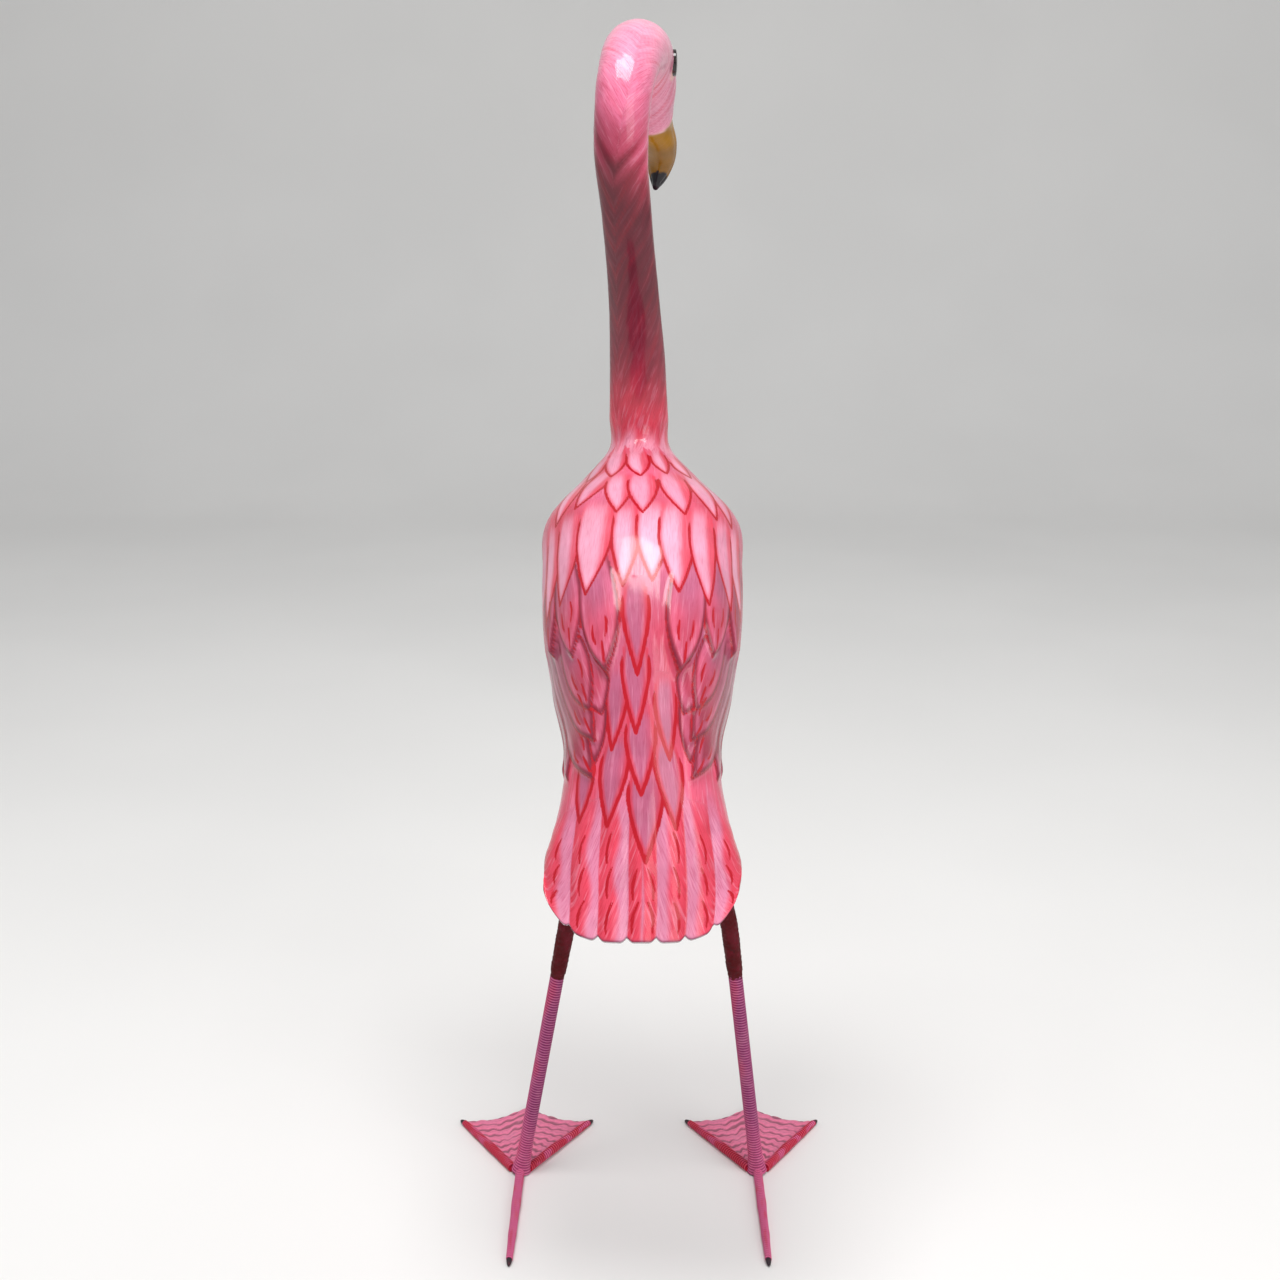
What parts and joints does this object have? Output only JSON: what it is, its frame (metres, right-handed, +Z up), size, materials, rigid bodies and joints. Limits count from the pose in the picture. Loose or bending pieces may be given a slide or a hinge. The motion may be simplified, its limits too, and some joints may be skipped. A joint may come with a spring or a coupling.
{
  "type": "carved flamingo figure",
  "caption": "Carved and painted wooden flamingo with an arched neck, folded wings and a fluted tail, standing on wire legs with webbed feet.",
  "frame": {"origin": "on the floor, under the middle of the whole figure's bounding box", "axes": "+Z up, the bird faces -Y and its tail points to +Y, its left side is at +X"},
  "size_m": [0.175, 0.1784, 0.5008],
  "materials": {
    "painted_wood": "hand-painted pink and coral feathers under gloss varnish",
    "painted_binding": "thread-bound iron wire, painted lilac pink, coral and dark red, satin",
    "eye_bead": "glossy dark bead"
  },
  "bodies": {
    "root": {"bird": "painted_wood", "leg_left": "painted_binding", "leg_right": "painted_binding", "eye_left": "eye_bead", "eye_right": "eye_bead"}
  },
  "joints": []
}
